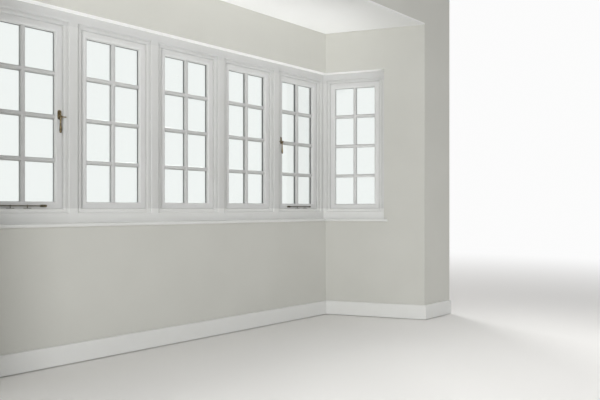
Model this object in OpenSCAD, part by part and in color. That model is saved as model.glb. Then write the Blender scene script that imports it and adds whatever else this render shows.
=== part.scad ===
// Three-sided bay window of painted timber on masonry, with a hipped roof.
// X runs to the right seen from the room, Y outwards to the street, Z up, in millimetres.
// The origin is at ground level, in the middle of the footprint's box.

/* [Plan] */
// Distance between the centres of two neighbouring front lights
light_pitch = 540; // [520:5:640]
// Turn of each side away from the front, in degrees
turn = 60; // [50:1:64]
// Length of the canted wall's inner face, from the front corner to the room's wall
side_length = 844; // [820:1:960]
// Length of house wall kept beyond each side of the bay
stub_length = 380; // [360:5:600]

/* [Heights] */
// Height of the ceiling
ceiling_z = 2438; // [2400:1:2700]
// Height of the top of the window board
board_top = 832; // [820:1:860]
// Height of the outer brick wall under the stone sill
outer_wall_h = 750; // [700:5:760]

/* [Windows] */
// Width of the visible glass in one light
glass_w = 348; // [320:1:360]
// Height of the visible glass in one light
glass_h = 1018; // [900:1:1040]
// Height of the flat face of the frame's bottom member
sill_face = 53; // [46:1:70]
// Height of the flat face of the frame's head
head_face = 44; // [36:1:50]

/* [Walls] */
// Thickness of the plastered inner wall
inner_leaf = 120; // [110:1:130]
// Thickness of the outer brick wall
outer_leaf = 102.5; // [100:0.5:110]
// Gap between the inner and outer walls
cavity = 47.5; // [40:0.5:60]
// Distance from the frame's room face to the plaster face
reveal = 59; // [50:1:64]

/* [Boards] */
// Thickness of the window board
board_t = 23; // [20:1:32]
// How far the window board stands proud of the plaster
board_nose = 25; // [18:1:40]
// Height of the skirting
skirting_h = 120; // [95:1:170]
// Thickness of the skirting
skirting_t = 18; // [14:1:25]

/* [Roof] */
// Pitch of the roof, in degrees
roof_pitch = 35; // [30:1:38]
// Distance from the outer wall's face to the fascia's face
eaves_reach = 150; // [120:5:180]
// Height of the roof's surface over the fascia
eaves_z = 2300; // [2300:1:2330]
// Thickness of the roof, square to its slope
roof_t = 110; // [90:1:115]

/* [Hidden] */
$fn = 32;

// How far a cutting shape passes the surface that it cuts
past = 1;

// Colours
plaster = [0.80, 0.79, 0.76];
brick = [0.55, 0.30, 0.22];
stone = [0.72, 0.70, 0.65];
white_paint = [0.90, 0.90, 0.88];
pane_tint = [0.75, 0.85, 0.88, 0.35];
brass = [0.62, 0.48, 0.24];
tile = [0.48, 0.24, 0.18];
dark_timber = [0.20, 0.14, 0.11];

// Depths are measured outwards from the glass, so the room side is negative
frame_in = -61;
frame_out = 34;
wall_in = frame_in - reveal;
leaf_out = wall_in + inner_leaf;
cavity_out = leaf_out + cavity;
wall_out = cavity_out + outer_leaf;

// Moulded edge between a member's flat face and the sash
moulding = 75;
face_round = 10;
step_depth = -47;
step_edge = 51;
stop_edge = 41;
stop_depth = -26;
rebate_edge = 52;

// Sash section
sash_in = -25;
sash_out = 33;
sash_edge = 49;
sash_round = 12;
glazing_groove = 13;
unit_t = 14;
pane_t = 4;
pane_edge = 12;
bead_slope = 10;

// Lights
front_count = 5;
corner_gap = 133;
jamb_face = 21;
glass_z = board_top + sill_face + moulding;
glass_mid = glass_z + glass_h / 2;
corner_x = (front_count - 1) / 2 * light_pitch + glass_w / 2 + corner_gap;
side_light = corner_gap + glass_w / 2;
jamb_end = side_light + glass_w / 2 + moulding + jamb_face;
rail_top = glass_z - stop_edge;
head_bottom = glass_z + glass_h + stop_edge;
head_top = glass_z + glass_h + moulding + head_face;
board_z = board_top - board_t;

// Plan of the walls
miter = tan(turn / 2);
mouth = side_length + (-wall_in) * miter;
drop = side_length * sin(turn);
house_in = wall_in - drop;
house_out = house_in + (wall_out - wall_in);
mouth_x = corner_x + wall_in * miter + side_length * cos(turn);
outer_mouth_x = mouth_x + (wall_out - wall_in) * miter;
stub_x = mouth_x + stub_length;
wall_over_roof = 83;
house_top = eaves_z + tan(roof_pitch) * (wall_out + eaves_reach - house_out) + wall_over_roof;
ceiling_t = 12.5;

// Roof
fascia_out = wall_out + eaves_reach;
fascia_t = 25;
fascia_bottom = head_top;
soffit_t = 12;
soffit_z = head_top + soffit_t;
tile_over = 40;
tiles_t = 25;
tile_edge = tiles_t / cos(roof_pitch);
slab = roof_t / cos(roof_pitch);

// Sills
frame_sill_nose = 82;
frame_sill_lift = 32;
frame_sill_fall = 20;
frame_drip = [66, 72, 6];
frame_sill_front_h = 30;
stone_sill_nose = 190;
stone_sill_fall = 23;
stone_drip = [166, 174, 8];

// The glass plane of the front lies here, so that the footprint's box is centred on the origin
front_y = (-(house_in - skirting_t) - (fascia_out + tile_over)) / 2;

// Longest run that a clipping shape has to cover
reach = 4000;

function roof_surface(depth) = eaves_z + tan(roof_pitch) * (fascia_out - depth);

// Quarter round from [depth, edge + r] to [depth + r, edge]
function quarter(depth, edge, r) =
    [for (a = [0:15:90]) [depth + r - r * cos(a), edge + r - r * sin(a)]];

frame_moulding = concat(
    [[frame_in - past, moulding]],
    quarter(frame_in, moulding - face_round, face_round),
    [[step_depth, moulding - face_round]],
    quarter(step_depth, stop_edge, step_edge - stop_edge),
    [[stop_depth, stop_edge], [stop_depth, rebate_edge], [frame_out + past, rebate_edge]]
);

sash_moulding = concat(
    [[sash_in - past, sash_round]],
    quarter(sash_in, 0, sash_round),
    [[0, 0], [0, glazing_groove], [unit_t, glazing_groove], [unit_t, 0]],
    [[sash_out, bead_slope], [sash_out + past, bead_slope]]
);

// Places children on the front
module on_front() {
    translate([0, front_y, 0]) children();
}

// Places children, drawn along a side from its front corner, on the side named by the sign
module on_side(side) {
    mirror([side < 0 ? 1 : 0, 0, 0])
        translate([corner_x, front_y, 0])
            rotate([0, 0, -turn])
                children();
}

// Keeps the part of the front between its two mitred corners
module front_clip() {
    intersection() {
        children();
        linear_extrude(height = reach)
            polygon([
                [-corner_x - house_in * miter, house_in],
                [corner_x + house_in * miter, house_in],
                [corner_x + fascia_out * 2 * miter, fascia_out * 2],
                [-corner_x - fascia_out * 2 * miter, fascia_out * 2]
            ]);
    }
}

// Keeps the part of a side behind its mitred corner with the front, up to a far end
module side_clip(far_in, far_out) {
    intersection() {
        children();
        linear_extrude(height = reach)
            polygon([
                [-house_in * miter, house_in],
                [far_in, house_in],
                [far_out, fascia_out * 2],
                [-fascia_out * 2 * miter, fascia_out * 2]
            ]);
    }
}

// A section drawn as [depth, height], run along the front
module front_run(section) {
    front_clip()
        translate([-reach / 2, 0, 0])
            rotate([90, 0, 90])
                linear_extrude(height = reach)
                    polygon(section);
}

// A section run along a side from the corner to the window's end
module side_run(section, far = jamb_end) {
    side_clip(far, far)
        translate([-reach / 2, 0, 0])
            rotate([90, 0, 90])
                linear_extrude(height = reach)
                    polygon(section);
}

// A section run along a side past its window, to the mitre with the house wall
module side_run_full(section) {
    side_clip(mouth - (house_in - wall_in) * miter, mouth - (fascia_out * 2 - wall_in) * miter)
        translate([-reach / 2, 0, 0])
            rotate([90, 0, 90])
                linear_extrude(height = reach)
                    polygon(section);
}

function block(depth_a, depth_b, z_a, z_b) =
    [[depth_a, z_a], [depth_b, z_a], [depth_b, z_b], [depth_a, z_b]];

// Opening whose width and height both follow one list of [depth, edge beyond the glass],
// so that its mouldings meet in true mitres at the four corners
module moulded_opening(outline) {
    count = len(outline);
    half_w = glass_w / 2;
    half_h = glass_h / 2;
    intersection() {
        linear_extrude(height = glass_h * 2, center = true)
            polygon(concat(
                [for (p = outline) [half_w + p[1], p[0]]],
                [for (i = [1:count]) [-half_w - outline[count - i][1], outline[count - i][0]]]
            ));
        rotate([90, 0, 90])
            linear_extrude(height = glass_w * 2, center = true)
                polygon(concat(
                    [for (p = outline) [p[0], half_h + p[1]]],
                    [for (i = [1:count]) [outline[count - i][0], -half_h - outline[count - i][1]]]
                ));
    }
}

function light_x(i) = (i - (front_count - 1) / 2) * light_pitch;

module front_openings() {
    for (i = [0:front_count - 1])
        translate([light_x(i), 0, glass_mid]) moulded_opening(frame_moulding);
}

module side_opening() {
    translate([side_light, 0, glass_mid]) moulded_opening(frame_moulding);
}

// Masonry

inner_wall = block(wall_in, leaf_out, 0, board_z);
outer_wall = block(cavity_out, wall_out, 0, outer_wall_h);

module inner_wall_front() { color(plaster) on_front() front_run(inner_wall); }
module inner_wall_side(side) { color(plaster) on_side(side) side_run(inner_wall); }
module outer_wall_front() { color(brick) on_front() front_run(outer_wall); }
module outer_wall_side(side) { color(brick) on_side(side) side_run(outer_wall); }

// Canted masonry from the end of the side light to the house wall
module pier(side) {
    color(plaster)
        on_side(side)
            intersection() {
                side_run_full([
                    [wall_in, 0], [wall_out, 0],
                    [wall_out, roof_surface(wall_out) - slab],
                    [wall_in, roof_surface(wall_in) - slab]
                ]);
                translate([jamb_end, wall_in - past, -past]) cube(reach);
            }
}

// Front wall of the house: a short length at each side and the wall over the mouth of the bay
module house_wall() {
    color(plaster)
        translate([0, front_y, 0]) {
            for (side = [-1, 1])
                mirror([side < 0 ? 1 : 0, 0, 0])
                    linear_extrude(height = house_top)
                        polygon([
                            [mouth_x, house_in], [stub_x, house_in],
                            [stub_x, house_out], [outer_mouth_x, house_out]
                        ]);
            translate([-stub_x, house_in, ceiling_z + ceiling_t])
                cube([2 * stub_x, house_out - house_in, house_top - ceiling_z - ceiling_t]);
        }
}

upper_wall = [
    [wall_in, head_top], [frame_out, head_top],
    [frame_out, roof_surface(frame_out) - slab], [wall_in, roof_surface(wall_in) - slab]
];

module upper_wall_front() { color(plaster) on_front() front_run(upper_wall); }
module upper_wall_side(side) { color(plaster) on_side(side) side_run(upper_wall); }

module ceiling() {
    color(white_paint)
        on_front()
            translate([0, 0, ceiling_z])
                linear_extrude(height = ceiling_t)
                    polygon([
                        [-corner_x - wall_in * miter, wall_in], [corner_x + wall_in * miter, wall_in],
                        [mouth_x, house_in], [-mouth_x, house_in]
                    ]);
}

// Window board with a half-round nose
nose_r = board_t / 2;
board_section = concat(
    [[frame_in, board_top]],
    [for (a = [90:15:270])
        [wall_in - board_nose + nose_r + nose_r * cos(a), board_z + nose_r + nose_r * sin(a)]],
    [[frame_in, board_z]]
);
board_horn = 30;

module window_board_front() { color(white_paint) on_front() front_run(board_section); }

module window_board_side(side) {
    color(white_paint)
        on_side(side)
            difference() {
                side_run(board_section, jamb_end + board_horn);
                translate([jamb_end, wall_in, 0]) cube(reach);
            }
}

// Stone sill with a weathered top and a drip groove
stone_sill = [
    [leaf_out, outer_wall_h],
    [stone_drip[0], outer_wall_h], [stone_drip[0], outer_wall_h + stone_drip[2]],
    [stone_drip[1], outer_wall_h + stone_drip[2]], [stone_drip[1], outer_wall_h],
    [stone_sill_nose, outer_wall_h], [stone_sill_nose, board_z - stone_sill_fall],
    [frame_out, board_z], [leaf_out, board_z]
];

module stone_sill_front() { color(stone) on_front() front_run(stone_sill); }
module stone_sill_side(side) { color(stone) on_side(side) side_run(stone_sill); }

// Bottom member of the frame, with its weathered nose outside
nose_z = board_z + frame_sill_lift;
frame_sill = [
    [frame_in, board_z], [frame_out, board_z], [frame_out, nose_z],
    [frame_drip[0], nose_z], [frame_drip[0], nose_z + frame_drip[2]],
    [frame_drip[1], nose_z + frame_drip[2]], [frame_drip[1], nose_z],
    [frame_sill_nose, nose_z], [frame_sill_nose, nose_z + frame_sill_front_h],
    [frame_out, nose_z + frame_sill_front_h + frame_sill_fall],
    [frame_out, rail_top], [frame_in, rail_top]
];

module frame_sill_front() {
    color(white_paint)
        on_front()
            difference() {
                front_run(frame_sill);
                front_openings();
            }
}

module frame_sill_side(side) {
    color(white_paint)
        on_side(side)
            difference() {
                side_run(frame_sill);
                side_opening();
            }
}

frame_head = block(frame_in, frame_out, head_bottom, head_top);

module frame_head_front() {
    color(white_paint)
        on_front()
            difference() {
                front_run(frame_head);
                front_openings();
            }
}

module frame_head_side(side) {
    color(white_paint)
        on_side(side)
            difference() {
                side_run(frame_head);
                side_opening();
            }
}

// Upright between the sill and the head, from one place along the wall to another
module upright(from, to) {
    translate([from, frame_in, rail_top])
        cube([to - from, frame_out - frame_in, head_bottom - rail_top]);
}

module mullions() {
    color(white_paint)
        on_front()
            for (i = [0:front_count - 2])
                difference() {
                    upright(light_x(i) + glass_w / 2 + stop_edge, light_x(i + 1) - glass_w / 2 - stop_edge);
                    front_openings();
                }
}

// Post that turns the corner between the front and a side
module corner_posts() {
    start = corner_gap - stop_edge;
    color(white_paint)
        for (side = [-1, 1]) {
            mirror([side < 0 ? 1 : 0, 0, 0])
                on_front()
                    difference() {
                        translate([0, 0, rail_top])
                            linear_extrude(height = head_bottom - rail_top)
                                polygon([
                                    [corner_x - start, frame_in], [corner_x + frame_in * miter, frame_in],
                                    [corner_x + start * cos(turn) + frame_in * sin(turn),
                                        frame_in * cos(turn) - start * sin(turn)],
                                    [corner_x + start * cos(turn) + frame_out * sin(turn),
                                        frame_out * cos(turn) - start * sin(turn)],
                                    [corner_x + frame_out * miter, frame_out], [corner_x - start, frame_out]
                                ]);
                        front_openings();
                        translate([corner_x, 0, 0]) rotate([0, 0, -turn]) side_opening();
                    }
        }
}

module end_posts() {
    color(white_paint)
        for (side = [-1, 1])
            on_side(side)
                difference() {
                    upright(side_light + glass_w / 2 + stop_edge, jamb_end);
                    side_opening();
                }
}

// Sash with a rounded inner arris, a groove for the sealed unit and a sloping bead outside
module sash() {
    color(white_paint)
        translate([0, 0, glass_mid])
            difference() {
                translate([-glass_w / 2 - sash_edge, sash_in, -glass_h / 2 - sash_edge])
                    cube([glass_w + 2 * sash_edge, sash_out - sash_in, glass_h + 2 * sash_edge]);
                moulded_opening(sash_moulding);
            }
}

module front_sash(i) { on_front() translate([light_x(i), 0, 0]) sash(); }
module side_sash(side) { on_side(side) translate([side_light, 0, 0]) sash(); }

// Two panes of a sealed unit, held in the groove of the sash
module sealed_unit() {
    for (depth = [0, unit_t - pane_t])
        translate([-glass_w / 2 - pane_edge, depth, glass_z - pane_edge])
            cube([glass_w + 2 * pane_edge, pane_t, glass_h + 2 * pane_edge]);
}

module glass() {
    color(pane_tint) {
        for (i = [0:front_count - 1]) on_front() translate([light_x(i), 0, 0]) sealed_unit();
        for (side = [-1, 1]) on_side(side) translate([side_light, 0, 0]) sealed_unit();
    }
}

plate_t = 3;

// Upright plate with half-round ends on the sash's face
module fixing_plate(w, h) {
    translate([0, sash_in, 0])
        rotate([90, 0, 0])
            linear_extrude(height = plate_t) {
                for (s = [-1, 1]) translate([0, s * (h - w) / 2]) circle(d = w);
                square([w, h - w], center = true);
            }
}

// Brass fastener: plate, boss, nose over the frame's step and a turned handle hanging down
fastener_z = glass_mid - 1;
fastener_x = glass_w / 2 + 25;
fastener_plate = [22, 58];
plate_rise = 14;
boss_d = 16;
boss_l = 29;
nose_t = 5;
nose_l = 32;
nose_h = 6;
handle_stand_off = 21;

// Radius of the handle against the length from the boss
handle_profile = [
    [0, 0], [5, 0], [6, 8], [4.5, 20], [4, 34], [5, 52],
    [6.5, 68], [7, 80], [6, 90], [4, 96], [0, 98]
];

module fastener() {
    translate([fastener_x, 0, fastener_z]) {
        translate([0, 0, plate_rise]) fixing_plate(fastener_plate[0], fastener_plate[1]);
        translate([0, sash_in, 0]) rotate([90, 0, 0]) cylinder(h = boss_l, d = boss_d);
        translate([0, step_depth - nose_t, -nose_h / 2]) cube([nose_l, nose_t, nose_h]);
        translate([0, sash_in - handle_stand_off, 0])
            rotate([180, 0, 0]) rotate_extrude() polygon(handle_profile);
    }
}

module fasteners() {
    color(brass)
        for (side = [-1, 1])
            mirror([side < 0 ? 0 : 1, 0, 0])
                on_front()
                    translate([light_x(0), 0, 0]) fastener();
}

// Casement stay lying along the bottom rail, held by two pins on the ledge under it
stay_z = glass_z - sash_round - 14;
stay_pivot = 108;
stay_length = 240;
stay_t = 7;
stay_h = 6;
stay_depth = sash_in - 9;
pivot_plate = [14, 40];
pivot_d = 8;
pivot_l = 14;
thumb_d = 12;
hole_pitch = 45;
hole_d = 4;
pin_d = 3.6;
pin_over = 3;
pin_plate = [40, 10, 2.5];

module stay() {
    thumb_x = stay_pivot - stay_length;
    translate([stay_pivot, 0, stay_z]) {
        rotate([0, 90, 0]) fixing_plate(pivot_plate[0], pivot_plate[1]);
        translate([0, sash_in, 0]) rotate([90, 0, 0]) cylinder(h = pivot_l, d = pivot_d);
    }
    difference() {
        union() {
            translate([thumb_x, stay_depth - stay_t / 2, stay_z - stay_h / 2])
                cube([stay_length, stay_t, stay_h]);
            translate([thumb_x, stay_depth + stay_t / 2, stay_z])
                rotate([90, 0, 0]) cylinder(h = stay_t, d = thumb_d);
        }
        for (i = [1:4])
            translate([stay_pivot - i * hole_pitch, stay_depth, stay_z])
                cylinder(h = stay_h + 2 * past, d = hole_d, center = true);
    }
    for (i = [2, 4])
        translate([stay_pivot - i * hole_pitch, stay_depth, rail_top]) {
            cylinder(h = stay_z + stay_h / 2 + pin_over - rail_top, d = pin_d);
            translate([-pin_plate[0] / 2, -pin_plate[1] / 2, 0]) cube(pin_plate);
        }
}

module stays() {
    color(brass)
        for (side = [-1, 1])
            mirror([side < 0 ? 0 : 1, 0, 0])
                on_front()
                    translate([light_x(0), 0, 0]) stay();
}

// Skirting with a rounded top edge, kept clear of the floor, with a hairline joint at an outer corner
skirting_gap = 6;
skirting_joint = 0.5;
skirting_section = concat(
    [[wall_in - skirting_t, skirting_gap]],
    [for (a = [180:-15:90])
        [wall_in - skirting_t / 2 + skirting_t / 2 * cos(a),
            skirting_h - skirting_t / 2 + skirting_t / 2 * sin(a)]],
    [[wall_in, skirting_h], [wall_in, skirting_gap]]
);

module skirting() {
    cut = 2 * skirting_t;
    start = mouth_x + skirting_joint;
    color(white_paint) {
        on_front() front_run(skirting_section);
        for (side = [-1, 1]) {
            on_side(side) side_run_full(skirting_section);
            mirror([side < 0 ? 1 : 0, 0, 0])
                on_front()
                    intersection() {
                        translate([mouth_x - reach / 2, house_in - wall_in, 0])
                            rotate([90, 0, 90])
                                linear_extrude(height = reach)
                                    polygon(skirting_section);
                        linear_extrude(height = reach)
                            polygon([
                                [start - cut * miter, house_in - cut], [stub_x, house_in - cut],
                                [stub_x, house_in], [start, house_in]
                            ]);
                    }
        }
    }
}

// Roof slopes, with the tiles' edge running past the fascia
roof_section = [
    [house_out, roof_surface(house_out)],
    [fascia_out + tile_over, roof_surface(fascia_out + tile_over)],
    [fascia_out + tile_over, roof_surface(fascia_out + tile_over) - tile_edge],
    [fascia_out, roof_surface(fascia_out) - tile_edge],
    [fascia_out - fascia_t, roof_surface(fascia_out) - tile_edge],
    [fascia_out - fascia_t, roof_surface(fascia_out - fascia_t) - slab],
    [house_out, roof_surface(house_out) - slab]
];

// Everything on the street side of the house wall
module outside_house() {
    translate([-reach, front_y + house_out, 0]) cube([2 * reach, reach, reach]);
}

module roof_front() { color(tile) on_front() front_run(roof_section); }

module roof_side(side) {
    color(tile)
        intersection() {
            on_side(side) side_run(roof_section, reach / 2);
            outside_house();
        }
}

// Fascia board with the soffit board housed behind it
eaves_section = [
    [frame_out, soffit_z], [fascia_out - fascia_t, soffit_z], [fascia_out - fascia_t, fascia_bottom],
    [fascia_out, fascia_bottom], [fascia_out, roof_surface(fascia_out) - tile_edge],
    [fascia_out - fascia_t, roof_surface(fascia_out) - tile_edge],
    [fascia_out - fascia_t, soffit_z + soffit_t], [frame_out, soffit_z + soffit_t]
];

module eaves_front() { color(dark_timber) on_front() front_run(eaves_section); }

module eaves_side(side) {
    color(dark_timber)
        difference() {
            intersection() {
                on_side(side) side_run(eaves_section, reach / 2);
                outside_house();
            }
            pier(side);
        }
}

inner_wall_front();
inner_wall_side(-1);  // inner_wall_left
inner_wall_side(1);  // inner_wall_right
outer_wall_front();
outer_wall_side(-1);  // outer_wall_left
outer_wall_side(1);  // outer_wall_right
pier(-1);  // pier_left
pier(1);  // pier_right
house_wall();
upper_wall_front();
upper_wall_side(-1);  // upper_wall_left
upper_wall_side(1);  // upper_wall_right
ceiling();
window_board_front();
window_board_side(-1);  // window_board_left
window_board_side(1);  // window_board_right
stone_sill_front();
stone_sill_side(-1);  // stone_sill_left
stone_sill_side(1);  // stone_sill_right
frame_sill_front();
frame_sill_side(-1);  // frame_sill_left
frame_sill_side(1);  // frame_sill_right
frame_head_front();
frame_head_side(-1);  // frame_head_left
frame_head_side(1);  // frame_head_right
corner_posts();
end_posts();
mullions();
front_sash(0);  // casement_left
front_sash(4);  // casement_right
front_sash(1);  // fixed_sash_1
front_sash(2);  // fixed_sash_2
front_sash(3);  // fixed_sash_3
side_sash(-1);  // side_sash_left
side_sash(1);  // side_sash_right
glass();
fasteners();
stays();
skirting();
roof_front();
roof_side(-1);  // roof_left
roof_side(1);  // roof_right
eaves_front();
eaves_side(-1);  // eaves_left
eaves_side(1);  // eaves_right
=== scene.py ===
"""Looks of the three-sided bay window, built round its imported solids.

Shapes are in millimetres, like the source of the solids, and materials and studio in metres.
Along a wall u runs sideways, n outwards from the room face of the glass, and z up.
"""

import random
from math import cos, pi, radians, sin, sqrt, tan

import bmesh
import bpy
from mathutils import Euler, Matrix, Vector, noise


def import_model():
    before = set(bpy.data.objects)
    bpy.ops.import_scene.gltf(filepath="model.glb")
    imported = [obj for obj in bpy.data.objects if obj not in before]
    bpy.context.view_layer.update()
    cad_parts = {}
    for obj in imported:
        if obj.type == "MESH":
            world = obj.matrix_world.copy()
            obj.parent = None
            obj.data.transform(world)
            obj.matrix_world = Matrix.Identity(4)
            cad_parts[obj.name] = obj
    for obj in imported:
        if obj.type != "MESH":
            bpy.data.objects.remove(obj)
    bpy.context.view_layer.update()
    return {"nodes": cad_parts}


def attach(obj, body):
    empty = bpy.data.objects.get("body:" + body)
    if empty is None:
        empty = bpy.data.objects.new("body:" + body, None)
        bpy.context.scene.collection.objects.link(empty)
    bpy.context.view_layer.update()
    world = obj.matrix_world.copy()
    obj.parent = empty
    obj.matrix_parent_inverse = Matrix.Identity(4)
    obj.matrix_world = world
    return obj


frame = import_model()

MM = 0.001
HANDS = ((-1, "left"), (1, "right"))
SQUARE = ((-1, -1), (1, -1), (1, 1), (-1, 1))

# Sizes of the solids, as in their source
TURN = radians(60)
MITRE = tan(TURN / 2)
LIGHT_PITCH = 540
FRONT_LIGHTS = 5
GLASS_W = 348
GLASS_H = 1018
GLASS_MID = 1469  # height of the middle of every pane
CORNER_X = 1387  # where the glass of the front and of a side would meet
SIDE_LIGHT = 307  # from that corner to the middle of the side light
JAMB_END = 577  # from that corner to the pier's brickwork
WALL_IN = -120  # n of a wall's two faces
WALL_OUT = 150
SIDE_LENGTH = 844  # of a side wall's room face
STUB = 380  # house wall beside the mouth of the bay
SKIRTING_T = 18
OUTER_WALL_H = 750
SOFFIT_Z = 2097
EAVES_Z = 2300
ROOF_PITCH = radians(35)
FASCIA = 300  # n of the eaves' face and of the roof's edge
ROOF_EDGE = 340
HOUSE_TOP = 3000

# Places that follow from them
HOUSE_IN = WALL_IN - SIDE_LENGTH * sin(TURN)
HOUSE_OUT = HOUSE_IN + WALL_OUT - WALL_IN
MOUTH_X = CORNER_X + WALL_IN * MITRE + SIDE_LENGTH * cos(TURN)
OUTER_MOUTH_X = MOUTH_X + (WALL_OUT - WALL_IN) * MITRE
STUB_X = MOUTH_X + STUB
FRONT_Y = (SKIRTING_T - HOUSE_IN - ROOF_EDGE) / 2
SIDE_FAR = SIDE_LENGTH - WALL_IN * MITRE - (WALL_OUT - WALL_IN) * MITRE
HIP_X = CORNER_X + HOUSE_OUT * MITRE  # where a hip meets the house wall


class Wall:
    """A wall, which turns its own (u, n) into X and Y."""

    def __init__(self, x, y, turn=0.0, mirror=1):
        self.x, self.y, self.turn, self.mirror = x, y, turn, mirror

    def plan(self, u, n):
        x = self.x + u * cos(self.turn) + n * sin(self.turn)
        return self.mirror * x, self.y - u * sin(self.turn) + n * cos(self.turn)

    def point(self, u, n, z):
        return (*self.plan(u, n), z)


FRONT = Wall(0, FRONT_Y)
SIDES = {-1: Wall(CORNER_X, FRONT_Y, TURN, -1), 1: Wall(CORNER_X, FRONT_Y, TURN)}
HOUSE = Wall(0, FRONT_Y + HOUSE_OUT - WALL_OUT)


def light_places():
    """One matrix for each light, whose own axes are u, n and z from the middle of its glass."""
    places = {}
    for i in range(FRONT_LIGHTS):
        x = (i - (FRONT_LIGHTS - 1) / 2) * LIGHT_PITCH
        places[f"front_{i + 1}"] = Matrix.Translation(Vector((x, FRONT_Y, GLASS_MID)) * MM)
    for side, name in HANDS:
        x, y = SIDES[side].plan(SIDE_LIGHT, 0)
        middle = Matrix.Translation(Vector((x, y, GLASS_MID)) * MM)
        places[name] = middle @ Matrix.Rotation(-side * TURN, 4, "Z")
    return places


LIGHTS = light_places()


# Materials


class Finish:
    """A node material, with short calls for the nodes that the finishes share."""

    def __init__(self, name, **inputs):
        self.material = bpy.data.materials.new(name)
        self.material.use_nodes = True
        self.tree = self.material.node_tree
        self.bsdf = self.tree.nodes["Principled BSDF"]
        self.feed(self.bsdf, inputs)

    def feed(self, node, inputs):
        for key, value in inputs.items():
            socket = node.inputs[key.replace("_", " ") if isinstance(key, str) else key]
            if isinstance(value, bpy.types.NodeSocket):
                self.tree.links.new(value, socket)
            else:
                socket.default_value = value

    def node(self, kind, inputs=None, **settings):
        node = self.tree.nodes.new("ShaderNode" + kind)
        for key, value in settings.items():
            setattr(node, key, value)
        self.feed(node, inputs or {})
        return node

    def coords(self, scale=(1, 1, 1), turn=0.0, move=(0, 0, 0)):
        """Object coordinates, moved and turned to a member's own axes, then stretched."""
        place = self.node("TexCoord").outputs["Object"]
        if turn or any(move):
            inputs = {"Vector": place, "Location": move, "Rotation": (0, 0, turn)}
            place = self.node("Mapping", inputs).outputs[0]
        return self.stretch(place, scale)

    def stretch(self, place, scale):
        return self.node("Mapping", {"Vector": place, "Scale": scale}).outputs[0]

    def noise(self, place, scale, detail=3.0, rough=0.5, warp=0.0):
        inputs = dict(Vector=place, Scale=scale, Detail=detail, Roughness=rough, Distortion=warp)
        return self.node("TexNoise", inputs).outputs["Fac"]

    def math(self, operation, a, b=0.0):
        return self.node("Math", {0: a, 1: b}, operation=operation).outputs[0]

    def span(self, value, low, high, out_low=0.0, out_high=1.0):
        """Maps one range of values onto another, held at its ends."""
        inputs = dict(Value=value, From_Min=low, From_Max=high, To_Min=out_low, To_Max=out_high)
        return self.node("MapRange", inputs).outputs[0]

    def ramp(self, value, stops):
        node = self.node("ValToRGB", {"Fac": value})
        elements = node.color_ramp.elements
        while len(elements) < len(stops):
            elements.new(0.5)
        for element, (place, colour) in zip(elements, stops):
            element.position = place
            element.color = (*colour, 1)
        return node.outputs["Color"]

    def mix(self, factor, a, b):
        """Blends two colours, sockets 6 and 7 of the Mix node."""
        a, b = ((*c, 1) if isinstance(c, tuple) else c for c in (a, b))
        return self.node("Mix", {0: factor, 6: a, 7: b}, data_type="RGBA").outputs[2]

    def bump(self, height, distance, strength, under=None):
        inputs = {"Height": height, "Distance": distance, "Strength": strength}
        if under is not None:
            inputs["Normal"] = under
        return self.node("Bump", inputs).outputs["Normal"]

    def finish(self, colour, roughness, normal):
        self.feed(self.bsdf, {"Base Color": colour, "Roughness": roughness, "Normal": normal})
        return self.material


# One white paint, set lighter or darker for each part as painted light and shade: lightest on the
# boards and sills, then the sashes, then the posts, darkest on the bars and heads
LIT_BOARD_PAINT = (0.75, 0.755, 0.74)
SASH_PAINT = (0.68, 0.685, 0.68)
SHADED_POST_PAINT = (0.62, 0.625, 0.615)
SHADED_BAR_PAINT = (0.58, 0.585, 0.58)
AGED_PAINT = (0.93, 0.925, 0.895)  # share of each part of a colour that age leaves
FRESH_PAINT = 1.13  # how much brighter paint is where it lies thick
BRUSH_ALONG = 14  # scales of the brush marks
BRUSH_ACROSS = 520


def brushed_paint(f, marks, colour):
    """Satin paint whose brush marks follow the given pattern."""
    aged = tuple(part * left for part, left in zip(colour, AGED_PAINT))
    fresh = tuple(part * FRESH_PAINT for part in colour)
    patches = f.noise(f.coords(), 6, 4, 0.6)
    specks = f.noise(f.coords(), 900, 2)
    tone = f.mix(f.span(patches, 0.35, 0.75, 0, 0.35), colour, aged)
    tone = f.mix(f.span(marks, 0.3, 0.7, 0, 0.10), tone, fresh)
    rough = f.span(patches, 0.3, 0.7, 0.30, 0.42)
    normal = f.bump(marks, 0.00025, 0.45)
    normal = f.bump(specks, 0.0001, 0.25, normal)
    return f.finish(tone, rough, normal)


def painted_timber(name, colour, axis=0, turn=0.0):
    """White paint brushed along one axis of a member."""
    f = Finish(name, Specular_IOR_Level=0.5)
    scale = tuple(BRUSH_ALONG if i == axis else BRUSH_ACROSS for i in range(3))
    return brushed_paint(f, f.noise(f.coords(scale, turn), 1, 4, 0.55), colour)


def painted_sash(name, place):
    """White paint brushed along the stiles and the rails, which meet in mitres."""
    f = Finish(name, Specular_IOR_Level=0.5)
    turn = -place.to_euler().z
    move = -(Matrix.Rotation(turn, 3, "Z") @ place.translation)
    own = f.coords((1, 1, 1), turn, move)
    split = f.node("SeparateXYZ", {0: own})
    beside = f.math("SUBTRACT", f.math("ABSOLUTE", split.outputs[0]), GLASS_W / 2 * MM)
    above = f.math("SUBTRACT", f.math("ABSOLUTE", split.outputs[2]), GLASS_H / 2 * MM)
    on_stile = f.math("GREATER_THAN", f.math("SUBTRACT", beside, above), 0)
    along = (BRUSH_ALONG, BRUSH_ACROSS, BRUSH_ACROSS)
    rail, stile = (f.noise(f.stretch(own, s), 1, 4) for s in (along, along[::-1]))
    marks = f.node("Mix", {0: on_stile, 2: rail, 3: stile}, data_type="FLOAT").outputs[0]
    return brushed_paint(f, marks, SASH_PAINT)


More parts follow.
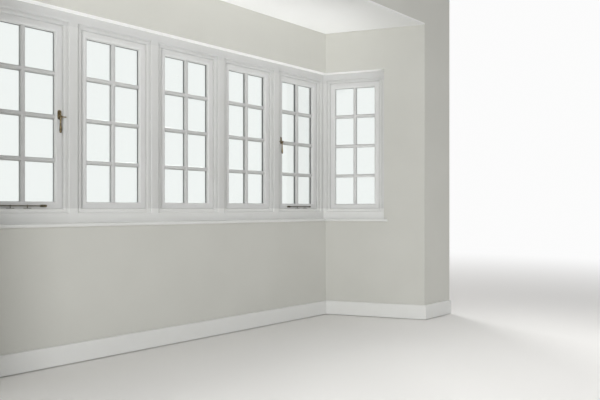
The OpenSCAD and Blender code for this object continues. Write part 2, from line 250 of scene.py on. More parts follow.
def emulsion(name, colour, shade, stipple=0.0005):
    """Matt paint put on by roller over slightly uneven plaster."""
    f = Finish(name, Specular_IOR_Level=0.25)
    place = f.coords()
    waves = f.noise(place, 2.2, 2, 0.5)
    nap = f.noise(place, 260, 4, 0.6)
    tone = f.mix(f.span(waves, 0.3, 0.7), colour, shade)
    tone = f.mix(f.span(nap, 0.35, 0.7, 0, 0.06), tone, (0.5, 0.49, 0.45))
    normal = f.bump(waves, 0.006, 0.35)
    normal = f.bump(nap, stipple, 0.5, normal)
    return f.finish(tone, f.span(nap, 0.3, 0.7, 0.84, 0.93), normal)


def cast_stone():
    """Clouded cast stone with dark and pale grit."""
    f = Finish("sill_cast_stone", Specular_IOR_Level=0.3)
    place = f.coords()
    cloud = f.noise(place, 5, 5, 0.6)
    grit = f.noise(place, 420, 3, 0.7)
    stops = [(0.3, (0.46, 0.43, 0.37)), (0.55, (0.60, 0.57, 0.50)), (0.75, (0.66, 0.63, 0.56))]
    tone = f.ramp(cloud, stops)
    tone = f.mix(f.span(grit, 0.58, 0.68, 0, 0.5), tone, (0.30, 0.27, 0.23))
    tone = f.mix(f.span(grit, 0.30, 0.40, 0.4, 0), tone, (0.78, 0.76, 0.70))
    normal = f.bump(grit, 0.0009, 0.5, f.bump(cloud, 0.003, 0.3))
    return f.finish(tone, f.span(grit, 0.3, 0.7, 0.78, 0.92), normal)


def lime_mortar(name, low, high, grit):
    """Sandy mortar, clouded between two tones, with grit of a third."""
    f = Finish(name, Specular_IOR_Level=0.2)
    place = f.coords()
    cloud = f.noise(place, 9, 4, 0.6)
    sand = f.noise(place, 700, 3, 0.7)
    tone = f.ramp(cloud, [(0.3, low), (0.7, high)])
    tone = f.mix(f.span(sand, 0.45, 0.7, 0, 0.45), tone, grit)
    return f.finish(tone, f.span(sand, 0.3, 0.7, 0.88, 0.97), f.bump(sand, 0.0015, 0.6))


def facing_brick():
    """Clay brick, each of its own tone, with darker burns, pale bloom and pits."""
    f = Finish("facing_brick", Specular_IOR_Level=0.25)
    own = f.node("Attribute", attribute_name="tone").outputs["Fac"]
    place = f.coords()
    cloud = f.noise(place, 24, 5, 0.6)
    pits = f.noise(place, 330, 4, 0.7)
    bloom = f.noise(place, 3.2, 4, 0.6)
    stops = [
        (0.0, (0.20, 0.085, 0.060)),
        (0.25, (0.31, 0.115, 0.072)),
        (0.55, (0.40, 0.155, 0.090)),
        (0.8, (0.46, 0.20, 0.115)),
        (1.0, (0.33, 0.17, 0.125)),
    ]
    tone = f.ramp(own, stops)
    tone = f.mix(f.span(cloud, 0.35, 0.7, 0, 0.4), tone, (0.19, 0.085, 0.065))
    tone = f.mix(f.span(bloom, 0.55, 0.8, 0, 0.28), tone, (0.58, 0.50, 0.43))
    tone = f.mix(f.span(pits, 0.60, 0.72, 0, 0.5), tone, (0.13, 0.07, 0.055))
    normal = f.bump(pits, 0.0016, 0.6, f.bump(cloud, 0.003, 0.4))
    return f.finish(tone, f.span(pits, 0.3, 0.7, 0.80, 0.95), normal)


def clay_tile():
    """Plain clay tile, each of its own tone, with clouds of soot and grey-green lichen."""
    f = Finish("plain_clay_tile", Specular_IOR_Level=0.3)
    own = f.node("Attribute", attribute_name="tone").outputs["Fac"]
    place = f.coords()
    cloud = f.noise(place, 14, 5, 0.65)
    grain = f.noise(place, 380, 3, 0.7)
    growth = f.noise(place, 38, 5, 0.75)
    stops = [
        (0.0, (0.15, 0.068, 0.048)),
        (0.35, (0.25, 0.100, 0.062)),
        (0.7, (0.33, 0.135, 0.080)),
        (1.0, (0.26, 0.135, 0.095)),
    ]
    tone = f.ramp(own, stops)
    tone = f.mix(f.span(cloud, 0.4, 0.75, 0, 0.55), tone, (0.10, 0.065, 0.050))
    tone = f.mix(f.span(growth, 0.62, 0.72, 0, 0.65), tone, (0.36, 0.37, 0.27))
    normal = f.bump(grain, 0.0012, 0.5, f.bump(growth, 0.002, 0.35))
    return f.finish(tone, f.span(grain, 0.3, 0.7, 0.74, 0.93), normal)


def sheet_lead():
    """Dull lead with pale runs down it."""
    f = Finish("sheet_lead", Metallic=0.35, Specular_IOR_Level=0.4)
    cloud = f.noise(f.coords(), 11, 5, 0.6, 0.6)
    runs = f.noise(f.coords((60, 60, 5)), 1, 4, 0.6)
    stops = [(0.3, (0.17, 0.18, 0.19)), (0.6, (0.27, 0.28, 0.29)), (0.8, (0.36, 0.37, 0.37))]
    tone = f.ramp(cloud, stops)
    tone = f.mix(f.span(runs, 0.55, 0.75, 0, 0.4), tone, (0.50, 0.51, 0.50))
    return f.finish(tone, f.span(cloud, 0.3, 0.7, 0.48, 0.68), f.bump(cloud, 0.003, 0.4))


def dark_stain(name, turn):
    """Softwood stained dark brown, with its grain along the board."""
    f = Finish(name, Specular_IOR_Level=0.4)
    grain = f.noise(f.coords((3.5, 240, 130), turn), 1, 5, 0.65, 0.4)
    fine = f.noise(f.coords((12, 900, 900), turn), 1, 3, 0.6)
    dark, middle, pale = (0.030, 0.017, 0.011), (0.060, 0.033, 0.020), (0.092, 0.055, 0.034)
    tone = f.ramp(grain, [(0.3, dark), (0.5, middle), (0.7, pale)])
    tone = f.mix(f.span(fine, 0.55, 0.7, 0, 0.4), tone, (0.022, 0.014, 0.010))
    normal = f.bump(fine, 0.0004, 0.5, f.bump(grain, 0.0008, 0.4))
    return f.finish(tone, f.span(grain, 0.3, 0.7, 0.42, 0.60), normal)


def aged_brass(name, dark, middle, worn):
    """Tarnished brass, rubbed brighter in places."""
    f = Finish(name, Metallic=1.0)
    tarnish = f.noise(f.coords(), 70, 5, 0.65)
    scratch = f.noise(f.coords((900, 900, 90)), 1, 3, 0.6)
    tone = f.ramp(tarnish, [(0.3, dark), (0.5, middle), (0.72, worn)])
    rough = f.span(tarnish, 0.3, 0.7, 0.52, 0.32)
    return f.finish(tone, rough, f.bump(scratch, 0.00008, 0.4, f.bump(tarnish, 0.0002, 0.3)))


def spacer_metal():
    """Dark grey metal of the spacers inside a sealed unit."""
    f = Finish("spacer_metal", Metallic=0.6, Specular_IOR_Level=0.4)
    grain = f.noise(f.coords((500, 500, 500)), 1, 3)
    tone = f.ramp(grain, [(0.3, (0.055, 0.058, 0.062)), (0.7, (0.095, 0.098, 0.10))])
    return f.finish(tone, f.span(grain, 0.3, 0.7, 0.40, 0.55), f.bump(grain, 0.00005, 0.3))


def clear_glass():
    """Thin clear panes: see-through, with a mirror that grows towards grazing angles."""
    f = Finish("clear_glass")
    f.tree.nodes.remove(f.bsdf)
    facing = f.node("LayerWeight", {"Blend": 0.5}).outputs["Facing"]
    share = f.math("ADD", f.math("MULTIPLY", f.math("POWER", facing, 5.0), 0.5), 0.035)
    film = f.noise(f.coords((30, 30, 9)), 1, 3, 0.6)
    clear = f.node("BsdfTransparent", {"Color": (0.975, 0.985, 0.98, 1)}).outputs[0]
    shine = {"Color": (0.95, 0.97, 0.97, 1), "Roughness": f.span(film, 0.4, 0.8, 0.01, 0.05)}
    mirror = f.node("BsdfGlossy", shine).outputs[0]
    both = f.node("MixShader", {0: share, 1: clear, 2: mirror}).outputs[0]
    f.feed(f.tree.nodes["Material Output"], {"Surface": both})
    return f.material


def make_materials():
    """Every material, by its short name."""
    mortar = ((0.36, 0.33, 0.28), (0.50, 0.46, 0.39), (0.62, 0.58, 0.50))
    bedding = ((0.17, 0.155, 0.13), (0.25, 0.23, 0.195), (0.32, 0.30, 0.26))
    brass = ((0.06, 0.045, 0.026), (0.14, 0.108, 0.060), (0.42, 0.34, 0.19))
    # The stays' brass is darker and more olive than the fasteners': part duller tarnish, part
    # painted shade of the rail they lie along
    shaded_stay_brass = ((0.035, 0.032, 0.020), (0.075, 0.068, 0.044), (0.20, 0.165, 0.095))
    made = {
        "plaster": emulsion("plaster_emulsion", (0.63, 0.63, 0.59), (0.605, 0.605, 0.565)),
        "ceiling": emulsion("ceiling_emulsion", (0.90, 0.905, 0.90), (0.875, 0.88, 0.875), 0.0004),
        "soffit": emulsion("soffit_emulsion", (0.93, 0.93, 0.92), (0.91, 0.91, 0.90), 0.0003),
        "stone": cast_stone(),
        "mortar": lime_mortar("lime_mortar", *mortar),
        "bedding": lime_mortar("bedding_mortar", *bedding),
        "brick": facing_brick(),
        "tile": clay_tile(),
        "lead": sheet_lead(),
        "brass": aged_brass("aged_brass", *brass),
        "stay_brass": aged_brass("shaded_stay_brass", *shaded_stay_brass),
        "spacer": spacer_metal(),
        "glass": clear_glass(),
        # The posts and the bars take darker copies of the white paint, as painted shade
        "paint_up": painted_timber("shaded_white_paint_upright", SHADED_POST_PAINT, 2),
        "bar_up": painted_timber("shaded_white_paint_bar_upright", SHADED_BAR_PAINT, 2),
        "bar_level": painted_timber("shaded_white_paint_bar_level", SHADED_BAR_PAINT),
    }
    # The boards, sills and skirting take a lighter copy of the white paint, as painted light, and
    # the heads a darker copy, as painted shade
    for name, turn in (("front", 0.0), ("left", -TURN), ("right", TURN)):
        made["paint_" + name] = painted_timber("white_paint_" + name, LIT_BOARD_PAINT, 0, turn)
        made["head_" + name] = painted_timber("shaded_white_paint_head_" + name, SHADED_BAR_PAINT, 0, turn)
        made["stain_" + name] = dark_stain("dark_stain_" + name, turn)
    for name, place in LIGHTS.items():
        made["sash_" + name] = painted_sash("white_paint_sash_" + name, place)
    return made


MATERIALS = make_materials()


# Pieces


def finish_piece(obj, smooth):
    """Hangs a piece on the frame, with its shading smooth up to the given angle."""
    if smooth:
        obj.data.shade_smooth()
        obj.data.set_sharp_from_angle(angle=radians(smooth))
    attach(obj, "root")


def add_object(name, mesh, materials, place=None):
    """An object in the scene, whose mesh other objects may share."""
    for material in materials:
        if material.name not in mesh.materials:
            mesh.materials.append(material)
    obj = bpy.data.objects.new(name, mesh)
    bpy.context.scene.collection.objects.link(obj)
    if place is not None:
        obj.matrix_world = place
    return obj


def make_mesh(name, points, faces, tones=None, kinds=None):
    """A closed mesh from points in millimetres, with tones or material numbers of its faces."""
    mesh = bpy.data.meshes.new(name)
    mesh.from_pydata([[c * MM for c in p] for p in points], [], faces)
    if tones is not None:
        mesh.attributes.new("tone", "FLOAT", "FACE").data.foreach_set("value", tones)
    if kinds is not None:
        mesh.polygons.foreach_set("material_index", kinds)
    tidy_mesh(mesh)
    return mesh


def tidy_mesh(mesh, cuts=()):
    """Welds doubled points, cuts by planes with the cuts closed, and turns all faces outwards."""
    work = bmesh.new()
    work.from_mesh(mesh)
    bmesh.ops.remove_doubles(work, verts=work.verts, dist=2e-6)
    for point, normal in cuts:
        geom = work.verts[:] + work.edges[:] + work.faces[:]
        bmesh.ops.bisect_plane(
            work, geom=geom, plane_co=point, plane_no=normal, clear_outer=True, dist=1e-6
        )
        open_edges = [e for e in work.edges if e.is_boundary]
        new = bmesh.ops.holes_fill(work, edges=open_edges)["faces"] if open_edges else []
        tone = work.faces.layers.float["tone"]
        for face in new:
            beside = [f for e in face.edges for f in e.link_faces if f is not face]
            if beside:
                face[tone] = beside[0][tone]
    bmesh.ops.recalc_face_normals(work, faces=work.faces)
    work.to_mesh(mesh)
    work.free()


class Solid:
    """Collects the points and faces of many small closed forms in one mesh."""

    def __init__(self):
        self.points, self.faces, self.tones = [], [], []

    def loft(self, rings, tone=0.0):
        """Joins equal rings of points one after the other and closes both ends."""
        start, size = len(self.points), len(rings[0])
        last = start + (len(rings) - 1) * size
        for ring in rings:
            self.points.extend(ring)
        faces = []
        for a in range(start, last, size):
            for k in range(size):
                j = (k + 1) % size
                faces.append((a + k, a + j, a + size + j, a + size + k))
        faces.append(tuple(range(start, start + size))[::-1])
        faces.append(tuple(range(last, last + size)))
        self.add(faces, tone)

    def shell(self, top, bottom, tone=0.0):
        """Closes two equal grids of points, a top and a bottom, along their rims."""
        rows, columns = len(top), len(top[0])
        start = len(self.points)
        for grid in (top, bottom):
            for row in grid:
                self.points.extend(row)
        under = rows * columns

        def at(i, j, level):
            return start + level * under + i * columns + j

        faces = []
        for i in range(rows - 1):
            for j in range(columns - 1):
                faces.append((at(i, j, 0), at(i, j + 1, 0), at(i + 1, j + 1, 0), at(i + 1, j, 0)))
                faces.append((at(i, j, 1), at(i + 1, j, 1), at(i + 1, j + 1, 1), at(i, j + 1, 1)))
        rim = [(0, j) for j in range(columns)]
        rim += [(i, columns - 1) for i in range(1, rows)]
        rim += [(rows - 1, j) for j in range(columns - 2, -1, -1)]
        rim += [(i, 0) for i in range(rows - 2, 0, -1)]
        for (i, j), (ii, jj) in zip(rim, rim[1:] + rim[:1]):
            faces.append((at(i, j, 0), at(i, j, 1), at(ii, jj, 1), at(ii, jj, 0)))
        self.add(faces, tone)

    def add(self, faces, tone):
        self.faces += faces
        self.tones += [tone] * len(faces)

    def piece(self, name, material, cuts=(), smooth=30):
        mesh = make_mesh(name, self.points, self.faces, self.tones)
        if cuts:
            tidy_mesh(mesh, cuts)
        finish_piece(add_object(name, mesh, [MATERIALS[material]]), smooth)


# Glazing

PANE_COLUMNS = 2
PANE_ROWS = 4
BAR_HALF = 14
# Sections of the bars: half the width, and the height there
BAR_SECTION = [
    (5.5, 18), (7.6, 17.4), (9.6, 15.6), (11.4, 12.6), (12.8, 8.6), (13.6, 5.2), (BAR_HALF, 3)
]
PUTTY_SECTION = [(5, 15), (BAR_HALF, 0.6)]
BAR_LAP = 3  # how far the bars run on past the edge of the glass that shows
PUTTY_LAP = 10.4
BAR_GAP = 0.5  # between a bar and the glass
OUTER_FACE_N = 14  # street face of the sealed unit
CAVITY_N = 4.2  # from here the spacers fill the cavity between the panes
SPACER_T = 5.6
SPACER_SECTION = [(11, SPACER_T)]
RING_IN = 0.5
RING_OUT = 7
CLOSE = 1e-6


def bar_centres():
    """Places of the bars between equal panes, from the middle of the glass."""
    wide = (GLASS_W - (PANE_COLUMNS - 1) * 2 * BAR_HALF) / PANE_COLUMNS + 2 * BAR_HALF
    tall = (GLASS_H - (PANE_ROWS - 1) * 2 * BAR_HALF) / PANE_ROWS + 2 * BAR_HALF
    across = [(i - PANE_COLUMNS / 2) * wide for i in range(1, PANE_COLUMNS)]
    up = [(i - PANE_ROWS / 2) * tall for i in range(1, PANE_ROWS)]
    return across, up


def lattice(name, section, lap, base, out):
    """Crossing bars as one closed mesh, as high everywhere as the higher of the bars that meet.

    It reaches past the glass by lap, starts at n = base and rises towards out, 1 or -1.
    """
    across, up = bar_centres()
    offsets = [w for w, _ in section]

    def lines(centres, half):
        values = {-half, half}
        for c in centres:
            values |= {c + s * w for w in offsets for s in (-1, 1)}
        return sorted(values)

    def rise(value, centres):
        for c in centres:
            for w, h in section:
                if abs(abs(value - c) - w) < CLOSE:
                    return h
        return 0

    def on_bar(a, b, centres):
        return any(abs((a + b) / 2 - c) < offsets[-1] for c in centres)

    xs, zs = lines(across, GLASS_W / 2 + lap), lines(up, GLASS_H / 2 + lap)
    upright = [on_bar(a, b, across) for a, b in zip(xs, xs[1:])]
    level = [on_bar(a, b, up) for a, b in zip(zs, zs[1:])]
    columns, rows = len(upright), len(level)
    height = [[max(rise(x, across), rise(z, up)) for z in zs] for x in xs]
    points, faces, kinds, index = [], [], [], {}

    def solid(i, j):
        return 0 <= i < columns and 0 <= j < rows and (upright[i] or level[j])

    def at(i, j, top):
        if (i, j, top) not in index:
            index[i, j, top] = len(points)
            points.append((xs[i], base + out * (height[i][j] if top else 0), zs[j]))
        return index[i, j, top]

    for i in range(columns):
        for j in range(rows):
            if not solid(i, j):
                continue
            corners = [(i, j), (i + 1, j), (i + 1, j + 1), (i, j + 1)]
            tall = [height[a][b] for a, b in corners]
            odd = [k for k in range(4) if tall.count(tall[k]) == 1]
            top = [at(a, b, True) for a, b in corners]
            new = [tuple(top)]
            if len(odd) == 1:
                p, q, r, s = top[odd[0] :] + top[: odd[0]]
                new = [(p, q, r), (p, r, s)]
            new.append(tuple(at(a, b, False) for a, b in corners[::-1]))
            beside = [(i, j - 1), (i + 1, j), (i, j + 1), (i - 1, j)]
            for k, (a, b) in enumerate(beside):
                if not solid(a, b):
                    p, q = corners[k], corners[(k + 1) % 4]
                    new.append((at(*p, True), at(*p, False), at(*q, False), at(*q, True)))
            faces += new
            kinds += [0 if upright[i] else 1] * len(new)
    return make_mesh(name, points, faces, kinds=kinds)


def spacer_ring():
    """Spacer bar of a sealed unit, showing as a dark line round the panes."""
    near, far = CAVITY_N, CAVITY_N + SPACER_T
    section = [(-RING_IN, near), (-RING_IN, far), (RING_OUT, far), (RING_OUT, near)]
    points = [
        (sx * (GLASS_W / 2 + e), n, sz * (GLASS_H / 2 + e))
        for sx, sz in SQUARE
        for e, n in section
    ]
    faces = []
    for i in range(4):
        a, b = 4 * i, 4 * ((i + 1) % 4)
        faces += [(a + k, a + (k + 1) % 4, b + (k + 1) % 4, b + k) for k in range(4)]
    return make_mesh("unit_spacer", points, faces)


def glazing():
    """Bars on both faces of every light, and the spacers between its two panes."""
    paint = [MATERIALS["bar_up"], MATERIALS["bar_level"]]
    metal = [MATERIALS["spacer"]]
    room = lattice("bars_inner", BAR_SECTION, BAR_LAP, -BAR_GAP, -1)
    street = lattice("bars_outer", PUTTY_SECTION, PUTTY_LAP, OUTER_FACE_N + BAR_GAP, 1)
    cavity = lattice("bars_cavity", SPACER_SECTION, -RING_IN, CAVITY_N, 1)
    forms = (
        ("glazing_bars_room_", room, paint, "white_paint", 30),
        ("glazing_bars_street_", street, paint, "white_paint", 30),
        ("cavity_bars_", cavity, metal, "glass", 0),
        ("unit_spacer_", spacer_ring(), metal, "glass", 0),
    )
    for name, place in LIGHTS.items():
        for word, mesh, materials, slot, smooth in forms:
            finish_piece(add_object(word + name, mesh, materials, place), smooth)


# Brickwork

COURSE = 75
BRICK_H = 65
JOINT = 10
CORNER_FRONT = CORNER_X + WALL_OUT * MITRE  # u of the outer corner on the front and on a side
CORNER_SIDE = -WALL_OUT * MITRE
FRONT_BRICKS = 13  # bricks in a course of the front, a side and the house wall
SIDE_BRICKS = 3.75
HOUSE_BRICKS = 19
FRONT_PITCH = 2 * CORNER_FRONT / FRONT_BRICKS
SIDE_PITCH = (SIDE_FAR - CORNER_SIDE) / SIDE_BRICKS
HOUSE_PITCH = 2 * STUB_X / HOUSE_BRICKS
PIER_COURSES = 29
SHORTEST_BRICK = 28
ROOF_CLEAR = 12  # courses stop at the mouth until this far below the roof line
PROUD = 4  # bricks stand out from the mortar
EMBED = 3
CHAMFER = 2.2
CELL = 30  # about a facet's length
BED_PLAY = 0.8
FACE_PLAY = (-0.9, 0.6)
PATTERN_REACH = 900  # each brick's wear comes from another place of the pattern
ROUGH_SCALE = 0.05
ROUGH_DEPTH = 0.7
CHIP_SCALE = 0.11
CHIP_LEVEL = 0.25
EDGE_CHIP = 5.0
FACE_CHIP = 1.2


def brick(solid, stations, course, rng):
    """A brick's outer skin run along stations, each a call from n to a place in plan.

    Its face is uneven and its arrises are worn. The first and last stations are its ends.
    """
    bed = course * COURSE + JOINT / 2
    z0, z1 = (z + rng.uniform(-BED_PLAY, BED_PLAY) for z in (bed, bed + BRICK_H))
    proud = WALL_OUT + PROUD + rng.uniform(*FACE_PLAY)
    seed = Vector([rng.uniform(0, PATTERN_REACH) for _ in range(3)])
    inner = WALL_OUT - EMBED
    levels = [z0 + CHAMFER + k * (z1 - z0 - 2 * CHAMFER) / 3 for k in range(4)]
    rings = []
    for i, station in enumerate(stations):
        ring = [(*station(inner), z0), (*station(proud - CHAMFER), z0)]
        for z in levels:
            if i in (0, len(stations) - 1):
                z = z0 if z == levels[0] else z1 if z == levels[-1] else z
                n = proud - CHAMFER
            else:
                x, y = station(proud)
                rough = noise.noise(Vector((x, y, z)) * ROUGH_SCALE + seed)
                chip = noise.noise(Vector((x, y, z)) * CHIP_SCALE - seed)
                edge = z in (levels[0], levels[-1]) or i in (1, len(stations) - 2)
                depth = (EDGE_CHIP if edge else FACE_CHIP) * max(0.0, chip - CHIP_LEVEL)
                n = proud + ROUGH_DEPTH * rough - depth
            ring.append((*station(n), z))
        ring += [(*station(proud - CHAMFER), z1), (*station(inner), z1)]
        rings.append(ring)
    solid.loft(rings, rng.random())


def straight(wall, a, b):
    """Stations of a straight brick from a to b along a wall."""
    count = max(2, round((b - a) / CELL))
    inner = [a + CHAMFER + (b - a - 2 * CHAMFER) * k / count for k in range(count + 1)]
    return [lambda n, u=u: wall.plan(u, n) for u in [a, *inner, b]]


def corner_legs(course, side):
    """How far the corner brick of a course reaches along the front and along the side."""
    long_front = (course % 2 == 0) == (side < 0)
    front, back = (0.75, 0.25) if long_front else (0.25, 0.75)
    return FRONT_PITCH * front - JOINT / 2, SIDE_PITCH * back - JOINT / 2


def squint(side, front_leg, side_leg):
    """Stations of the brick that turns the corner between the front and a side."""
    end = CORNER_FRONT - front_leg
    along = [end + CHAMFER + k * CELL for k in range(int(front_leg // CELL))]
    front = [lambda n, u=u: FRONT.plan(side * u, n) for u in [end, *along]]
    corner = [lambda n: (side * (CORNER_X + n * MITRE), FRONT_Y + n)]
    end = CORNER_SIDE + side_leg
    along = [end - CHAMFER - k * CELL for k in range(int(side_leg // CELL))][::-1]
    back = [lambda n, u=u: SIDES[side].plan(u, n) for u in [*along, end]]
    return front + corner + back


def course_line(a, pitch, low, high):
    """Spans of the bricks of one course that starts at a, between low and high."""
    spans = []
    while a < high:
        left, right = max(a, low), min(a + pitch - JOINT, high)
        if right - left > SHORTEST_BRICK:
            spans.append((left, right))
        a += pitch
    return spans


def roof_line(x):
    """Height at which the roof meets the house wall, at a distance from the middle."""
    top = EAVES_Z + tan(ROOF_PITCH) * (FASCIA - HOUSE_OUT)
    return top - max(0.0, abs(x) - HIP_X) * tan(ROOF_PITCH) * sin(TURN)


def side_bricks(solid, course, side, low, rng):
    """Bricks of one course along a side, from the corner brick on, but none before low."""
    start = CORNER_SIDE + corner_legs(course, side)[1] + JOINT
    for a, b in course_line(start, SIDE_PITCH, max(start, low), SIDE_FAR - JOINT / 2):
        brick(solid, straight(SIDES[side], a, b), course, rng)


def brickwork():
    """Stretcher bond on the bay, on the piers beside the side lights and on the house wall."""
    rng = random.Random(41)
    bay_courses = round(OUTER_WALL_H / COURSE)
    bay = Solid()
    for course in range(bay_courses):
        for side in (-1, 1):
            brick(bay, squint(side, *corner_legs(course, side)), course, rng)
            side_bricks(bay, course, side, CORNER_SIDE, rng)
        first = FRONT_PITCH * (0.25 if course % 2 else 0.75) + JOINT / 2
        for k in range(FRONT_BRICKS - 1):
            a = -CORNER_FRONT + first + k * FRONT_PITCH
            brick(bay, straight(FRONT, a, a + FRONT_PITCH - JOINT), course, rng)
    bay.piece("bricks_bay", "brick")

    piers = Solid()
    for course in range(bay_courses, PIER_COURSES):
        for side in (-1, 1):
            side_bricks(piers, course, side, JAMB_END, rng)
    piers.piece("bricks_piers", "brick")

    house = Solid()
    for course in range(HOUSE_TOP // COURSE):
        top = (course + 1) * COURSE - JOINT / 2
        start = -STUB_X + JOINT / 2 + (-HOUSE_PITCH / 2 if course % 2 else 0)
        for a, b in course_line(start, HOUSE_PITCH, -STUB_X, STUB_X):
            over_roof = top > roof_line(max(abs(a), abs(b))) - ROOF_CLEAR
            if not over_roof and b < 0:
                b = min(b, -OUTER_MOUTH_X - JOINT / 2)
            elif not over_roof:
                a = max(a, OUTER_MOUTH_X + JOINT / 2)
            if b - a > SHORTEST_BRICK:
                brick(house, straight(HOUSE, a, b), course, rng)
    house.piece("bricks_house", "brick")


# Roof

TILE_W = 165
TILE_GAUGE = 100
TILE_T = 12
TILE_L = 132
TILE_TILT = TILE_T / TILE_GAUGE
TILE_GAP = 1  # half the gap between two tiles
TILE_ROWS = 3  # facets along and across a tile
TILE_COLUMNS = 4
TILE_CAMBER = 2.2
TILE_LIFT = 14
LIFT_PLAY = (-1.2, 1.6)
TILE_SKEW = 1.6
TAIL_PLAY = 1.5
TAIL_WEAR = 1.5  # a tile's tail is worn down and its lower edge set back
TAIL_BACK = 1
FIRST_TAIL = 13
TILED_SIDE = 1600


def on_slope(wall, u, s, h):
    """A point of a slope: along the eaves, up the slope and above its surface."""
    n = ROOF_EDGE - s * cos(ROOF_PITCH) + h * sin(ROOF_PITCH)
    foot = EAVES_Z - (ROOF_EDGE - FASCIA) * tan(ROOF_PITCH)
    return wall.point(u, n, foot + s * sin(ROOF_PITCH) + h * cos(ROOF_PITCH))


def tile(solid, wall, u0, u1, s0, rng):
    """A cambered tile, its head sunk and its tail lying on the course below."""
    lift = TILE_LIFT + rng.uniform(*LIFT_PLAY)
    skew = rng.uniform(-TILE_SKEW, TILE_SKEW)
    s0 += rng.uniform(-TAIL_PLAY, TAIL_PLAY)
    tone = rng.random()
    top, bottom = [], []
    for i in range(TILE_ROWS + 1):
        t = i / TILE_ROWS
        worn, back = (TAIL_WEAR, TAIL_BACK) if i == 0 else (0, 0)
        upper, lower = [], []
        for j in range(TILE_COLUMNS + 1):
            w = j / TILE_COLUMNS
            camber = TILE_CAMBER * (1 - (2 * w - 1) ** 2)
            h = lift - TILE_TILT * TILE_L * t + camber + skew * (w - 0.5)
            u = u0 + (u1 - u0) * w
            s = s0 + TILE_L * t
            upper.append(on_slope(wall, u, s, h - worn))
            lower.append(on_slope(wall, u, s + back, h - TILE_T))
        top.append(upper)
        bottom.append(lower)
    solid.shell(top, bottom, tone)


def plane(x, y, nx, ny):
    """An upright cutting plane through (x, y), which takes away what lies along (nx, ny)."""
    return Vector((x, y, 0)) * MM, Vector((nx, ny, 0)).normalized()


def hip_plane(side, keep_front, away=0):
    """Upright plane along a hip, some way from it, that keeps the front's or the side's part."""
    s = side if keep_front else -side
    nx, ny = s * cos(TURN / 2), -s * side * sin(TURN / 2)
    return plane(side * CORNER_X - away * nx, FRONT_Y - away * ny, nx, ny)


HOUSE_PLANE = plane(0, FRONT_Y + HOUSE_OUT, 0, -1)
SLOPE_LENGTH = (ROOF_EDGE - HOUSE_OUT) / cos(ROOF_PITCH)


def slope_tiles():
    """Plain tiles in courses that break joint, cut along the hips and at the house wall."""
    rng = random.Random(7)
    corner = -ROOF_EDGE * MITRE
    front_half = CORNER_X - corner
    runs = {"front": (FRONT, -front_half, front_half, [hip_plane(-1, True), hip_plane(1, True)])}
    for side, word in HANDS:
        runs[word] = (SIDES[side], corner, TILED_SIDE, [hip_plane(side, False)])
    for name, (wall, low, high, cuts) in runs.items():
        solid = Solid()
        for course in range(int(SLOPE_LENGTH // TILE_GAUGE) + 1):
            s0 = FIRST_TAIL + course * TILE_GAUGE
            u = low - TILE_W * (0.5 if course % 2 else 0)
            while u < high:
                tile(solid, wall, u + TILE_GAP, u + TILE_W - TILE_GAP, s0, rng)
                u += TILE_W
        solid.piece("roof_tiles_" + name, "tile", [*cuts, HOUSE_PLANE], 25)


# Hips: third-round tiles on mortar
HIP_RADIUS = 128
HIP_TILE_T = 13
HIP_ANGLE = 58  # from the top of the arc to its feet, in degrees
HIP_TILE_L = 300
HIP_GAP = 8
HIP_FLARE = 3
HIP_PLAY = 1.5
HIP_FOOT = 18
HIP_STEPS = 4
ARC_STEPS = 8
HIP_SINK = HIP_RADIUS * cos(radians(HIP_ANGLE)) + 26  # the arc's feet are 26 mm below the hip
HIP_RISE = tan(ROOF_PITCH)
HIP_RUN = sqrt(1 / cos(TURN / 2) ** 2 + HIP_RISE**2)
HIP_LENGTH = (ROOF_EDGE - HOUSE_OUT) * HIP_RUN
HIP_PAST = 60  # what covers a hip runs on past the house wall and is cut there
CUT_IN = 1  # and inside the roof's edges
BED_STEPS = 60
BED_SINK = 3
BED_SPREAD = 4
BED_WAVE = 2.5
BED_UNDERSIDE = [(90, -46), (0, -14), (-90, -46)]

# Lead
SADDLE_REACH = 150
SADDLE_STEPS = 3
SADDLE_LIFT = 5
SADDLE_ANGLE = 49
SADDLE_WING = [(178, -22), (122, -5.5)]
SADDLE_T = 3
UPSTAND_ENDS = (-190, 40)  # from the hip, along the house wall
UPSTAND_TOP = 2988
LEAD_TUCK = 8  # lead on the wall starts this far below the roof line


def hip_point(side, distance, sideways, lift):
    """A point beside a hip: up from its foot, across it and square to it."""
    down = Vector((side * MITRE, 1, -HIP_RISE)).normalized()
    across = Vector((side * cos(TURN / 2), -sin(TURN / 2), 0))
    up = across.cross(down) * side
    n = ROOF_EDGE - distance / HIP_RUN
    base = Vector((side * (CORNER_X + n * MITRE), FRONT_Y + n, EAVES_Z + HIP_RISE * (FASCIA - n)))
    return tuple(base + across * sideways + up * lift)


def hip_arc(side, distance, radius, angle, lift, waves=(0.0,) * (ARC_STEPS + 1)):
    """Points of an arc over a hip, each with its own change of the radius."""
    points = []
    for a, wave in enumerate(waves):
        turn = radians(angle * (2 * a / ARC_STEPS - 1))
        r = radius + wave
        points.append(hip_point(side, distance, r * sin(turn), r * cos(turn) - HIP_SINK + lift))
    return points


